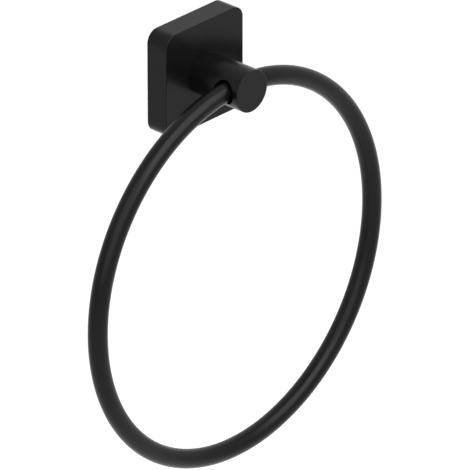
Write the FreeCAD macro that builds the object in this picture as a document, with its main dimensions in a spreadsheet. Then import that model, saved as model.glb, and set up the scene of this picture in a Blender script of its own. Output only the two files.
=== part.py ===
import FreeCAD, Part
import math
import os

import Sketcher

# Wall-mounted towel ring. Millimetres and degrees.
# The origin is on the wall, on the axis of the post. X runs along the wall,
# -Y points away from the wall into the room, and Z is up.

SIZES = {
    # Square hollow cover that lies on the wall
    "cover_side": 50.0,
    "cover_depth": 11.5,
    "cover_corner_radius": 6.0,
    "cover_edge_bevel": 0.4,
    "cover_wall": 2.5,
    "cover_front": 2.5,
    "cover_floor_bevel": 1.0,
    # Round post, its end measured from the wall
    "post_diameter": 20.0,
    "post_reach": 40.0,
    "post_end_bevel": 0.4,
    "bore_end_wall": 2.6,
    # Closed hoop of round rod, and how it sits in the bore
    "ring_outside": 190.0,
    "ring_rod": 9.0,
    "ring_play": 0.55,
    "ring_gap": 0.15,
    "ring_lean": 40.0,
    # Double-D spigot that keys the post into the cover
    "spigot_diameter": 9.5,
    "spigot_flat_depth": 0.75,
    "spigot_clearance": 0.1,
    "spigot_short": 0.3,
    # Screw and split washer that hold the post from inside the cover
    "thread_clearance": 0.05,
    "screw_diameter": 6.0,
    "screw_length": 10.0,
    "screw_head_diameter": 10.0,
    "screw_head_height": 4.0,
    "screw_bevel": 0.5,
    "screw_socket": 5.0,
    "screw_socket_depth": 2.3,
    "tapped_spare": 2.9,
    "drill_point_angle": 118.0,
    "washer_diameter": 11.8,
    "washer_clearance": 0.2,
    "washer_thickness": 1.6,
    "washer_split": 1.2,
    # Pressed channel that is screwed to the wall
    "bracket_sheet": 2.0,
    "bracket_side_gap": 2.5,
    "bracket_front_gap": 2.0,
    "bracket_splay": 30.0,
    "bracket_bend_radius": 1.0,
    "bracket_corner_radius": 3.0,
    "flange_gap": 4.6,
    "relief_clearance": 0.6,
    "slot_margin": 2.5,
    "slot_length": 8.0,
    "slot_width": 5.0,
    # Ribs inside the cover that hook behind the upper flange
    "rib_wall_gap": 0.6,
    "hook_width": 5.0,
    "hook_spacing": 22.0,
    "hook_clearance": 0.1,
    # Set screw in the cover's bottom edge, and the boss that carries it
    "grub_diameter": 5.0,
    "grub_recess": 1.3,
    "grub_inset": 1.0,
    "grub_tip_diameter": 1.2,
    "grub_cone_length": 1.9,
    "grub_socket": 2.5,
    "grub_socket_depth": 2.5,
    "grub_gap": 0.05,
    "grub_boss_wall": 1.7,
    "grub_boss_gap": 1.1,
    "grub_boss_corner": 1.5,
}

# Formulas that more than one piece uses
COVER_INSIDE = "(Sizes.cover_side / 2 - Sizes.cover_wall)"
COVER_FLOOR = "(Sizes.cover_depth - Sizes.cover_front)"
SPIGOT_FLAT = "(Sizes.spigot_diameter / 2 - Sizes.spigot_flat_depth)"
WASHER_BACK = f"({COVER_FLOOR} - Sizes.washer_thickness)"
SPLAY_SLOPE = "tan(Sizes.bracket_splay)"
BRACKET_DEPTH = f"({COVER_FLOOR} - Sizes.bracket_front_gap)"
BRACKET_SIDE = f"({COVER_INSIDE} - Sizes.bracket_side_gap)"
FLANGE_LENGTH = f"({BRACKET_DEPTH} - Sizes.bracket_sheet * sin(Sizes.bracket_splay))"
FLANGE_TIP = f"({COVER_INSIDE} - Sizes.flange_gap)"
BRACKET_HALF = f"({FLANGE_TIP} - {FLANGE_LENGTH} * {SPLAY_SLOPE})"
GRUB_REACH = f"({FLANGE_LENGTH} - Sizes.grub_inset)"
GRUB_TIP = (
    f"({BRACKET_HALF} + Sizes.grub_gap"
    f" + ({GRUB_REACH} + Sizes.grub_tip_diameter / 2) * {SPLAY_SLOPE})"
)
GRUB_LENGTH = f"(Sizes.cover_side / 2 - Sizes.grub_recess - {GRUB_TIP})"
RING_RADIUS = "((Sizes.ring_outside - Sizes.ring_rod) / 2)"
RING_SAG = f"({RING_RADIUS} - sqrt({RING_RADIUS} ^ 2 - (Sizes.post_diameter / 2) ^ 2))"
BORE_RADIUS = f"(Sizes.ring_rod / 2 + {RING_SAG} + Sizes.ring_play)"
BORE_REACH = f"(Sizes.post_reach - Sizes.bore_end_wall - {BORE_RADIUS})"
RING_OFFSET = f"({RING_SAG} + Sizes.ring_play - Sizes.ring_gap)"
RING_REACH = f"({BORE_REACH} - {RING_OFFSET} * sin(Sizes.ring_lean))"
RING_DROP = f"({RING_OFFSET} * cos(Sizes.ring_lean) - {RING_SAG})"

# A sketch's numbers for its own origin and axes, and for the points of a line or arc
ORIGIN, ACROSS_AXIS, UP_AXIS = -1, -1, -2
START, END, CENTRE = range(1, 4)

# Size at which an outline is drawn before its dimensions pull it in
ROUGH_SIZE = 10.0

# How near two places or directions are when they count as the same
SAME_PLACE = 1e-4
SAME_WAY = 1e-6


def fill_sheet(doc):
    """Writes every driving size into a spreadsheet, under an alias."""
    sheet = doc.addObject("Spreadsheet::Sheet", "Sizes")
    for row, (alias, value) in enumerate(SIZES.items(), start=1):
        sheet.set(f"A{row}", alias)
        sheet.set(f"B{row}", str(value))
        sheet.setAlias(f"B{row}", alias)
    doc.recompute()


def add_body(doc, name):
    """A body whose label names the piece."""
    body = doc.addObject("PartDesign::Body", name)
    body.Label = name
    return body


def origin_feature(body, role):
    """The plane or axis of the body's own origin that has this role."""
    found = [item for item in body.Origin.OriginFeatures if item.Role == role]
    return found[0]


def add_sketch(body, name, plane, lift=None):
    """A sketch on one of the body's own planes, lifted off it by a formula."""
    sketch = body.newObject("Sketcher::SketchObject", name)
    sketch.AttachmentSupport = [(origin_feature(body, plane), "")]
    sketch.MapMode = "FlatFace"
    if lift:
        sketch.setExpression("AttachmentOffset.Base.z", lift)
    return sketch


def hold(sketch, constraint, formula):
    """Adds a dimension to the sketch and binds it to a formula."""
    index = sketch.addConstraint(constraint)
    name = f"size_{index}"
    sketch.renameConstraint(index, name)
    sketch.setExpression(f"Constraints.{name}", formula)


def place_point(sketch, line, end, across, up):
    """Holds a point at its two distances from the sketch's origin, from where it is now."""
    now = sketch.getPoint(line, end)
    if across == "0":
        sketch.addConstraint(Sketcher.Constraint("PointOnObject", line, end, UP_AXIS))
    else:
        hold(sketch, Sketcher.Constraint("DistanceX", ORIGIN, START, line, end, now.x), across)
    if up == "0":
        sketch.addConstraint(Sketcher.Constraint("PointOnObject", line, end, ACROSS_AXIS))
    else:
        hold(sketch, Sketcher.Constraint("DistanceY", ORIGIN, START, line, end, now.y), up)


def rough_point(index, count):
    """A starting place for a corner, before its dimensions pull it in."""
    angle = 2 * math.pi * index / count
    return (ROUGH_SIZE * math.cos(angle), ROUGH_SIZE * math.sin(angle))


def draw_line(sketch, start, end):
    """A straight line drawn near its final place."""
    line = Part.LineSegment(FreeCAD.Vector(*start, 0), FreeCAD.Vector(*end, 0))
    return sketch.addGeometry(line, False)


def draw_outline(sketch, corners):
    """A closed outline of straight lines through corners given as formulas."""
    count = len(corners)
    for index in range(count):
        draw_line(sketch, rough_point(index, count), rough_point(index + 1, count))
    for index in range(count):
        follower = (index + 1) % count
        joint = Sketcher.Constraint("Coincident", index, END, follower, START)
        sketch.addConstraint(joint)
    for index, (across, up) in enumerate(corners):
        place_point(sketch, index, START, across, up)


def draw_rectangle(sketch, half_width, half_height):
    """A rectangle centred on the sketch's origin."""
    corners = [
        (f"-{half_width}", f"-{half_height}"),
        (half_width, f"-{half_height}"),
        (half_width, half_height),
        (f"-{half_width}", half_height),
    ]
    draw_outline(sketch, corners)


def draw_hexagon(sketch, across_flats):
    """A regular hexagon centred on the sketch's origin."""
    corner = f"{across_flats} / sqrt(3)"
    corners = [
        (corner, "0"),
        (f"{corner} / 2", f"{across_flats} / 2"),
        (f"-{corner} / 2", f"{across_flats} / 2"),
        (f"-{corner}", "0"),
        (f"-{corner} / 2", f"-{across_flats} / 2"),
        (f"{corner} / 2", f"-{across_flats} / 2"),
    ]
    draw_outline(sketch, corners)


def draw_circle(sketch, radius, across="0", up="0"):
    """A circle with its centre and radius given as formulas."""
    circle = Part.Circle(FreeCAD.Vector(0, 0, 0), FreeCAD.Vector(0, 0, 1), ROUGH_SIZE)
    index = sketch.addGeometry(circle, False)
    place_point(sketch, index, CENTRE, across, up)
    hold(sketch, Sketcher.Constraint("Radius", index, ROUGH_SIZE), radius)


def draw_arc(sketch, centre, radius, first, last):
    """An arc drawn near its final size, from one angle in degrees to another."""
    circle = Part.Circle(FreeCAD.Vector(*centre, 0), FreeCAD.Vector(0, 0, 1), radius)
    arc = Part.ArcOfCircle(circle, math.radians(first), math.radians(last))
    return sketch.addGeometry(arc, False)


def draw_double_d(sketch, radius, half_flats):
    """A circle with a flat above and below, as a key for the post."""
    size = SIZES["spigot_diameter"] / 2
    flat = size - SIZES["spigot_flat_depth"]
    angle = math.degrees(math.asin(flat / size))
    side = math.sqrt(size**2 - flat**2)
    right = draw_arc(sketch, (0, 0), size, -angle, angle)
    left = draw_arc(sketch, (0, 0), size, 180 - angle, 180 + angle)
    top = draw_line(sketch, (side, flat), (-side, flat))
    bottom = draw_line(sketch, (-side, -flat), (side, -flat))
    for arc in (right, left):
        sketch.addConstraint(Sketcher.Constraint("Coincident", arc, CENTRE, ORIGIN, START))
    sketch.addConstraint(Sketcher.Constraint("Equal", right, left))
    sketch.addConstraint(Sketcher.Constraint("Coincident", right, END, top, START))
    sketch.addConstraint(Sketcher.Constraint("Coincident", top, END, left, START))
    sketch.addConstraint(Sketcher.Constraint("Coincident", left, END, bottom, START))
    sketch.addConstraint(Sketcher.Constraint("Coincident", bottom, END, right, START))
    sketch.addConstraint(Sketcher.Constraint("Horizontal", top))
    sketch.addConstraint(Sketcher.Constraint("Horizontal", bottom))
    hold(sketch, Sketcher.Constraint("Radius", right, size), radius)
    hold(sketch, Sketcher.Constraint("DistanceY", ORIGIN, START, top, START, flat), half_flats)
    hold(
        sketch,
        Sketcher.Constraint("DistanceY", ORIGIN, START, bottom, START, -flat),
        f"-{half_flats}",
    )


def draw_slot(sketch):
    """The right-hand screw slot of the bracket, along X."""
    half_width = SIZES["slot_width"] / 2
    near_end = SIZES["slot_length"]
    far_end = 2 * near_end
    near = draw_arc(sketch, (near_end, 0), half_width, 90, 270)
    far = draw_arc(sketch, (far_end, 0), half_width, -90, 90)
    low = draw_line(sketch, (near_end, -half_width), (far_end, -half_width))
    high = draw_line(sketch, (far_end, half_width), (near_end, half_width))
    sketch.addConstraint(Sketcher.Constraint("Tangent", near, END, low, START))
    sketch.addConstraint(Sketcher.Constraint("Tangent", low, END, far, START))
    sketch.addConstraint(Sketcher.Constraint("Tangent", far, END, high, START))
    sketch.addConstraint(Sketcher.Constraint("Tangent", high, END, near, START))
    sketch.addConstraint(Sketcher.Constraint("Equal", near, far))
    hold(sketch, Sketcher.Constraint("Radius", near, half_width), "Sizes.slot_width / 2")
    outer_end = f"{BRACKET_SIDE} - Sizes.slot_margin"
    place_point(sketch, far, CENTRE, f"{outer_end} - Sizes.slot_width / 2", "0")
    place_point(
        sketch, near, CENTRE, f"{outer_end} - Sizes.slot_length + Sizes.slot_width / 2", "0"
    )


def pad(body, sketch, name, length, midplane=False, reverse=False):
    """Raises a sketch into solid."""
    feature = body.newObject("PartDesign::Pad", name)
    feature.Profile = sketch
    feature.Midplane = midplane
    feature.Reversed = reverse
    feature.setExpression("Length", length)
    return feature


def pocket(body, sketch, name, length, midplane=False, reverse=False):
    """Cuts a sketch out of the solid."""
    feature = body.newObject("PartDesign::Pocket", name)
    feature.Profile = sketch
    feature.Midplane = midplane
    feature.Reversed = reverse
    feature.setExpression("Length", length)
    return feature


def turn(body, sketch, name, axis, kind="PartDesign::Revolution"):
    """Turns a half section about an axis of its sketch."""
    feature = body.newObject(kind, name)
    feature.Profile = sketch
    feature.ReferenceAxis = (sketch, [axis])
    feature.Angle = 360.0
    return feature


def break_edges(body, base, name, kind, measure, formula, wanted):
    """Rounds or bevels the edges of a feature that the test picks."""
    body.Document.recompute()
    edges = [
        f"Edge{index}"
        for index, edge in enumerate(base.Shape.Edges, start=1)
        if wanted(edge)
    ]
    feature = body.newObject(kind, name)
    feature.Base = (base, edges)
    feature.setExpression(measure, formula)
    return feature


def round_edges(body, base, name, radius, wanted):
    """Rounds the edges of a feature that the test picks."""
    return break_edges(body, base, name, "PartDesign::Fillet", "Radius", radius, wanted)


def bevel_edges(body, base, name, size, wanted):
    """Bevels the edges of a feature that the test picks."""
    return break_edges(body, base, name, "PartDesign::Chamfer", "Size", size, wanted)


def mirror(body, base, name):
    """Repeats a feature on the other side of X = 0."""
    feature = body.newObject("PartDesign::Mirrored", name)
    feature.Originals = [base]
    feature.MirrorPlane = (origin_feature(body, "YZ_Plane"), [""])
    body.Tip = feature
    return feature


def is_along(edge, direction):
    """True for a straight edge that runs along a direction."""
    if edge.Curve.TypeId != "Part::GeomLine":
        return False
    return abs(abs(edge.Curve.Direction.dot(direction)) - 1) < SAME_WAY


def lies_at(edge, axis, place):
    """True where every point of an edge has this coordinate along X, Y or Z."""
    span = edge.BoundBox
    low = (span.XMin, span.YMin, span.ZMin)[axis]
    high = (span.XMax, span.YMax, span.ZMax)[axis]
    return abs(low - place) < SAME_PLACE and abs(high - place) < SAME_PLACE


ALONG_X = FreeCAD.Vector(1, 0, 0)
ALONG_Y = FreeCAD.Vector(0, 1, 0)
ALONG_Z = FreeCAD.Vector(0, 0, 1)


def make_cover(doc):
    """Hollow square cover with hook ribs above and a set screw boss below."""
    body = add_body(doc, "cover")
    outline = add_sketch(body, "cover_outline", "XZ_Plane")
    draw_rectangle(outline, "Sizes.cover_side / 2", "Sizes.cover_side / 2")
    block = pad(body, outline, "cover_block", "Sizes.cover_depth")
    corners = round_edges(
        body, block, "cover_corners", "Sizes.cover_corner_radius",
        lambda edge: is_along(edge, ALONG_Y),
    )
    front = -SIZES["cover_depth"]
    rim = bevel_edges(
        body, corners, "cover_front_edge", "Sizes.cover_edge_bevel",
        lambda edge: lies_at(edge, 1, front),
    )
    solid_volume = measured_volume(doc, rim)
    cavity_outline = add_sketch(body, "cavity_outline", "XZ_Plane")
    draw_rectangle(cavity_outline, COVER_INSIDE, COVER_INSIDE)
    cavity = pocket(body, cavity_outline, "cavity", COVER_FLOOR, reverse=True)
    if measured_volume(doc, cavity) >= solid_volume:
        raise RuntimeError("the cover's cavity cut nothing")
    inside = SIZES["cover_side"] / 2 - SIZES["cover_wall"]
    cavity_corners = round_edges(
        body, cavity, "cavity_corners", "Sizes.cover_corner_radius - Sizes.cover_wall",
        lambda edge: is_along(edge, ALONG_Y)
        and abs(abs(edge.Vertexes[0].X) - inside) < SAME_PLACE,
    )
    floor = SIZES["cover_front"] - SIZES["cover_depth"]
    bevel_edges(
        body, cavity_corners, "cavity_floor", "Sizes.cover_floor_bevel",
        lambda edge: lies_at(edge, 1, floor),
    )
    add_grub_boss(body)
    add_hooks(body)
    key = add_sketch(body, "key_outline", "XZ_Plane")
    draw_double_d(
        key,
        "Sizes.spigot_diameter / 2 + Sizes.spigot_clearance",
        f"({SPIGOT_FLAT} + Sizes.spigot_clearance)",
    )
    pocket(body, key, "key_hole", "2 * Sizes.cover_depth", reverse=True)
    return body


def add_grub_boss(body):
    """Boss on the cover's lower wall, tapped for the set screw."""
    outline = add_sketch(
        body, "boss_outline", "XY_Plane", "-(Sizes.cover_side - Sizes.cover_wall) / 2"
    )
    half_width = "(Sizes.grub_diameter / 2 + Sizes.grub_boss_wall)"
    root = "(Sizes.cover_depth - Sizes.cover_front / 2)"
    corners = [
        (f"-{half_width}", f"-{root}"),
        (half_width, f"-{root}"),
        (half_width, "-Sizes.rib_wall_gap"),
        (f"-{half_width}", "-Sizes.rib_wall_gap"),
    ]
    draw_outline(outline, corners)
    height = "Sizes.flange_gap - Sizes.grub_boss_gap"
    boss = pad(body, outline, "boss", f"Sizes.cover_wall / 2 + {height}")
    free_end = -SIZES["rib_wall_gap"]
    round_edges(
        body, boss, "boss_corners", "Sizes.grub_boss_corner",
        lambda edge: is_along(edge, ALONG_Z) and lies_at(edge, 1, free_end),
    )
    hole = add_sketch(body, "grub_hole_outline", "XY_Plane", "-Sizes.cover_side")
    draw_circle(
        hole, "Sizes.grub_diameter / 2 + Sizes.thread_clearance", "0", f"-{GRUB_REACH}"
    )
    pocket(body, hole, "grub_hole", "Sizes.cover_side", reverse=True)


def add_hooks(body):
    """Two ribs under the upper wall, bevelled to the slope of the bracket's flange."""
    outline = add_sketch(
        body, "hook_outline", "YZ_Plane", "(Sizes.hook_spacing - Sizes.hook_width) / 2"
    )
    root = "(Sizes.cover_side - Sizes.cover_wall) / 2"
    flange = f"{BRACKET_HALF} + Sizes.hook_clearance / cos(Sizes.bracket_splay)"
    corners = [
        ("-Sizes.rib_wall_gap", root),
        (f"-{BRACKET_DEPTH}", root),
        (f"-{BRACKET_DEPTH}", f"{flange} + {SPLAY_SLOPE} * {BRACKET_DEPTH}"),
        ("-Sizes.rib_wall_gap", f"{flange} + {SPLAY_SLOPE} * Sizes.rib_wall_gap"),
    ]
    draw_outline(outline, corners)
    rib = pad(body, outline, "hook", "Sizes.hook_width")
    mirror(body, rib, "hook_pair")


def make_post(doc):
    """Round bar with a keyed and tapped root and a cross bore near its end."""
    body = add_body(doc, "post")
    section = add_sketch(body, "bar_section", "XZ_Plane", "Sizes.cover_depth")
    draw_circle(section, "Sizes.post_diameter / 2")
    pad(body, section, "bar", "Sizes.post_reach - Sizes.cover_depth")
    key = add_sketch(body, "spigot_section", "XZ_Plane", "Sizes.cover_depth")
    draw_double_d(key, "Sizes.spigot_diameter / 2", SPIGOT_FLAT)
    spigot = pad(
        body, key, "spigot", "Sizes.cover_front - Sizes.spigot_short", reverse=True
    )
    end_face = -SIZES["post_reach"]
    bar_end = bevel_edges(
        body, spigot, "post_end_edge", "Sizes.post_end_bevel",
        lambda edge: lies_at(edge, 1, end_face),
    )
    bar_volume = measured_volume(doc, bar_end)
    half_section = add_sketch(body, "tapped_section", "YZ_Plane")
    mouth = f"-({COVER_FLOOR} + Sizes.spigot_short)"
    root = "Sizes.screw_diameter / 2"
    bottom = f"-({WASHER_BACK} + Sizes.screw_length + Sizes.tapped_spare)"
    corners = [
        (mouth, "0"),
        (mouth, root),
        (bottom, root),
        (f"{bottom} - {root} / tan(Sizes.drill_point_angle / 2)", "0"),
    ]
    draw_outline(half_section, corners)
    tapped = turn(body, half_section, "tapped_hole", "H_Axis", "PartDesign::Groove")
    if measured_volume(doc, tapped) >= bar_volume:
        raise RuntimeError("the tapped hole cut nothing")
    bore_section = add_sketch(body, "bore_section", "YZ_Plane")
    draw_circle(bore_section, BORE_RADIUS, f"-{BORE_REACH}", "0")
    pocket(body, bore_section, "bore", "2 * Sizes.post_diameter", midplane=True)
    return body


def make_ring(doc):
    """Closed hoop that hangs in the bore, its plane upright and along the wall."""
    body = add_body(doc, "ring")
    section = add_sketch(body, "rod_section", "YZ_Plane")
    draw_circle(section, "Sizes.ring_rod / 2", "0", RING_RADIUS)
    turn(body, section, "hoop", "H_Axis")
    body.setExpression("Placement.Base.y", f"-{RING_REACH}")
    body.setExpression("Placement.Base.z", f"-{RING_DROP} - {RING_RADIUS}")
    return body


def make_wall_bracket(doc):
    """Pressed channel with splayed flanges, a relief hole and two screw slots."""
    body = add_body(doc, "wall_bracket")
    profile = add_sketch(body, "channel_profile", "YZ_Plane")
    inner_tip = f"({FLANGE_TIP} - Sizes.bracket_sheet * cos(Sizes.bracket_splay))"
    inner_bend = (
        f"({BRACKET_HALF} - Sizes.bracket_sheet"
        " * (1 - sin(Sizes.bracket_splay)) / cos(Sizes.bracket_splay))"
    )
    upper = [
        ("0", BRACKET_HALF),
        (f"-{FLANGE_LENGTH}", FLANGE_TIP),
        (f"-{BRACKET_DEPTH}", inner_tip),
        ("-Sizes.bracket_sheet", inner_bend),
    ]
    lower = [(across, f"-{up}") for across, up in reversed(upper)]
    draw_outline(profile, upper + lower)
    channel = pad(body, profile, "channel", f"2 * {BRACKET_SIDE}", midplane=True)
    sheet = -SIZES["bracket_sheet"]
    inner = round_edges(
        body, channel, "inner_bends", "Sizes.bracket_bend_radius",
        lambda edge: is_along(edge, ALONG_X) and lies_at(edge, 1, sheet),
    )
    outer = round_edges(
        body, inner, "outer_bends", "Sizes.bracket_bend_radius + Sizes.bracket_sheet",
        lambda edge: is_along(edge, ALONG_X) and lies_at(edge, 1, 0.0),
    )
    splay = math.radians(SIZES["bracket_splay"])
    through_sheet = [
        FreeCAD.Vector(0, -math.sin(splay), side * math.cos(splay)) for side in (1, -1)
    ]
    corners = round_edges(
        body, outer, "flange_corners", "Sizes.bracket_corner_radius",
        lambda edge: any(is_along(edge, way) for way in through_sheet),
    )
    channel_volume = measured_volume(doc, corners)
    relief_outline = add_sketch(body, "relief_outline", "XZ_Plane")
    draw_circle(relief_outline, "Sizes.washer_diameter / 2 + Sizes.relief_clearance")
    relief = pocket(
        body, relief_outline, "screw_relief", "2 * Sizes.bracket_sheet", reverse=True
    )
    relieved_volume = measured_volume(doc, relief)
    slot_outline = add_sketch(body, "slot_outline", "XZ_Plane")
    draw_slot(slot_outline)
    slot = pocket(body, slot_outline, "slot", "2 * Sizes.bracket_sheet", reverse=True)
    if not measured_volume(doc, slot) < relieved_volume < channel_volume:
        raise RuntimeError("a hole of the bracket cut nothing")
    mirror(body, slot, "slot_pair")
    return body


def make_post_screw(doc):
    """Low head socket screw that holds the post from inside the cover."""
    body = add_body(doc, "post_screw")
    section = add_sketch(body, "screw_section", "XY_Plane")
    shank = "(Sizes.screw_diameter / 2 - Sizes.thread_clearance)"
    head = "Sizes.screw_head_diameter / 2"
    corners = [
        ("0", "-Sizes.screw_length"),
        (f"{shank} - Sizes.screw_bevel", "-Sizes.screw_length"),
        (shank, "Sizes.screw_bevel - Sizes.screw_length"),
        (shank, "0"),
        (head, "0"),
        (head, "Sizes.screw_head_height - Sizes.screw_bevel"),
        (f"{head} - Sizes.screw_bevel", "Sizes.screw_head_height"),
        ("0", "Sizes.screw_head_height"),
    ]
    draw_outline(section, corners)
    screw = turn(body, section, "screw", "V_Axis")
    volume = measured_volume(doc, screw)
    socket_outline = add_sketch(
        body, "socket_outline", "XZ_Plane", "-Sizes.screw_head_height"
    )
    draw_hexagon(socket_outline, "Sizes.screw_socket")
    socket = pocket(body, socket_outline, "socket", "Sizes.screw_socket_depth", reverse=True)
    if measured_volume(doc, socket) >= volume:
        raise RuntimeError("the screw's socket cut nothing")
    body.setExpression("Placement.Base.y", f"-{WASHER_BACK}")
    return body


def make_lock_washer(doc):
    """Split spring washer, pressed flat under the screw's head."""
    body = add_body(doc, "lock_washer")
    section = add_sketch(body, "washer_section", "XZ_Plane")
    draw_circle(section, "Sizes.washer_diameter / 2")
    draw_circle(section, "Sizes.screw_diameter / 2 + Sizes.washer_clearance")
    flat = pad(body, section, "flat_ring", "Sizes.washer_thickness")
    volume = measured_volume(doc, flat)
    gap = add_sketch(body, "split_outline", "XZ_Plane")
    corners = [
        ("-Sizes.washer_split / 2", "0"),
        ("Sizes.washer_split / 2", "0"),
        ("Sizes.washer_split", "Sizes.washer_diameter"),
        ("0", "Sizes.washer_diameter"),
    ]
    draw_outline(gap, corners)
    split = pocket(body, gap, "split", "2 * Sizes.washer_thickness", reverse=True)
    if measured_volume(doc, split) >= volume:
        raise RuntimeError("the washer's split cut nothing")
    body.setExpression("Placement.Base.y", f"-{WASHER_BACK}")
    return body


def make_grub_screw(doc):
    """Socket set screw with a cone point, in the cover's bottom edge."""
    body = add_body(doc, "grub_screw")
    section = add_sketch(body, "grub_section", "YZ_Plane")
    corners = [
        ("0", "0"),
        ("Sizes.grub_tip_diameter / 2", "0"),
        ("Sizes.grub_diameter / 2", "-Sizes.grub_cone_length"),
        ("Sizes.grub_diameter / 2", f"-{GRUB_LENGTH}"),
        ("0", f"-{GRUB_LENGTH}"),
    ]
    draw_outline(section, corners)
    screw = turn(body, section, "set_screw", "V_Axis")
    volume = measured_volume(doc, screw)
    socket_outline = add_sketch(body, "socket_outline", "XY_Plane", f"-{GRUB_LENGTH}")
    draw_hexagon(socket_outline, "Sizes.grub_socket")
    socket = pocket(body, socket_outline, "socket", "Sizes.grub_socket_depth", reverse=True)
    if measured_volume(doc, socket) >= volume:
        raise RuntimeError("the set screw's socket cut nothing")
    body.setExpression("Placement.Base.y", f"-{GRUB_REACH}")
    body.setExpression("Placement.Base.z", f"-{GRUB_TIP}")
    return body


def measured_volume(doc, feature):
    """The solid's volume once the document is up to date."""
    doc.recompute()
    return feature.Shape.Volume


def check_document(doc):
    """Stops if any object of the document failed, or a sketch is free to move."""
    for item in doc.Objects:
        if "Invalid" in item.State or "Error" in item.State:
            raise RuntimeError(f"{item.Name} failed: {item.State}")
        if item.TypeId == "Sketcher::SketchObject" and not item.FullyConstrained:
            raise RuntimeError(f"the sketch {item.Name} isn't fully held")


def check_piece(body):
    """Stops if a piece isn't one valid solid."""
    shape = body.Shape
    if shape.isNull() or not shape.isValid() or len(shape.Solids) != 1:
        raise RuntimeError(f"{body.Label} isn't one valid solid")


def main():
    os.makedirs("parts", exist_ok=True)
    doc = FreeCAD.newDocument("towel_ring")
    fill_sheet(doc)
    makers = (
        make_wall_bracket,
        make_cover,
        make_grub_screw,
        make_post,
        make_lock_washer,
        make_post_screw,
        make_ring,
    )
    pieces = [make(doc) for make in makers]
    doc.recompute()
    check_document(doc)
    for piece in pieces:
        check_piece(piece)
    for piece in pieces:
        piece.Shape.exportStep(f"parts/{piece.Label}.step")
        span = piece.Shape.BoundBox
        print(
            f"{piece.Label}: {piece.Shape.Volume:.1f} mm3,"
            f" x {span.XMin:.2f} to {span.XMax:.2f},"
            f" y {span.YMin:.2f} to {span.YMax:.2f},"
            f" z {span.ZMin:.2f} to {span.ZMax:.2f}"
        )


main()
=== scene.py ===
import math

import bmesh
import bpy
from bpy.props import FloatProperty, FloatVectorProperty, IntProperty, PointerProperty
from mathutils import Matrix, Vector


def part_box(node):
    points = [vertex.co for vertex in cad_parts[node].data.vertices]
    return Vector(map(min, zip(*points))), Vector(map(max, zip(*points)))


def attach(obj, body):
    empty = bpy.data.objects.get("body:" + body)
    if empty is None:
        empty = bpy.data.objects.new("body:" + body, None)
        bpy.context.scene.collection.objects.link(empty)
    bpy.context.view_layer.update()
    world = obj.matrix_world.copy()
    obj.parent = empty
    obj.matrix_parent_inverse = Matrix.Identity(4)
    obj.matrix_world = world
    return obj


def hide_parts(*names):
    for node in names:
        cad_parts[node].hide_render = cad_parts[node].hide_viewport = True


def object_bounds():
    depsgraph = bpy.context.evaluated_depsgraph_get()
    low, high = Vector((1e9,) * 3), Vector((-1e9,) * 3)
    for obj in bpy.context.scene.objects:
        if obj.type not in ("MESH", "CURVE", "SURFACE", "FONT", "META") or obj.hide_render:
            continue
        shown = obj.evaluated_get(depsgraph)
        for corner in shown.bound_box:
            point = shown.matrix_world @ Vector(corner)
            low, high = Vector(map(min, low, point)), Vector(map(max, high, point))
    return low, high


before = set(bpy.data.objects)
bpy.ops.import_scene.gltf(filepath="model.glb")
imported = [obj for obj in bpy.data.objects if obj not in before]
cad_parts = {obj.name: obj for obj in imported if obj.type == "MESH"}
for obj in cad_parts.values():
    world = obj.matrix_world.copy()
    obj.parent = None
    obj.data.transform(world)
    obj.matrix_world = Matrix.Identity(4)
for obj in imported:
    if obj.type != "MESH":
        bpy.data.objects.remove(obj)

bl_info = {
    "name": "Towel ring finish",
    "version": (1, 0, 0),
    "blender": (4, 5, 0),
    "location": "3D View > Sidebar > Towel ring",
    "description": "Black coat, zinc plate, screw threads and studio for the towel ring",
    "category": "Object",
}

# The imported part. X runs along the wall, -Y out of it into the room, Z up, in metres.
CAD_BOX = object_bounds()
COVER_LOW, COVER_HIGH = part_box("cover")
POST_LOW, POST_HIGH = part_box("post")
RING_LOW, RING_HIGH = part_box("ring")
SCREW_LOW, SCREW_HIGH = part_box("post_screw")
WASHER_LOW, WASHER_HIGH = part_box("lock_washer")
GRUB_LOW, GRUB_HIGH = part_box("grub_screw")

MM = 0.001
FULL_TURN = 2 * math.pi

# Points nearer than this become one, and a bend sharper than this shows as an edge
WELD_DISTANCE = 1e-6
CREASE_ANGLE = math.radians(32)

# Divisions of a rounded edge
WIDE_EDGE_STEPS = 6
EDGE_STEPS = 4
NARROW_EDGE_STEPS = 3


# Settings


def length(name, description, millimetres):
    """A size that a user can change, in metres."""
    return FloatProperty(
        name=name,
        description=description,
        default=millimetres * MM,
        min=0.0,
        precision=5,
        subtype="DISTANCE",
        unit="LENGTH",
    )


def degrees(name, description, default):
    """An angle that a user can change."""
    return FloatProperty(
        name=name, description=description, default=math.radians(default), subtype="ANGLE"
    )


def watts(name, description, default):
    """Power of a lamp."""
    return FloatProperty(
        name=name, description=description, default=default, min=0.0, unit="POWER"
    )


def share(name, description, default):
    """A setting from 0 to 1."""
    return FloatProperty(
        name=name, description=description, default=default, min=0.0, max=1.0, subtype="FACTOR"
    )


def colour(name, description, default):
    """A colour of a finish, in linear light."""
    return FloatVectorProperty(
        name=name, description=description, default=default, min=0.0, max=1.0, subtype="COLOR"
    )


def steps(name, description, default):
    """How finely a form is divided."""
    return IntProperty(name=name, description=description, default=default, min=3)


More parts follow.
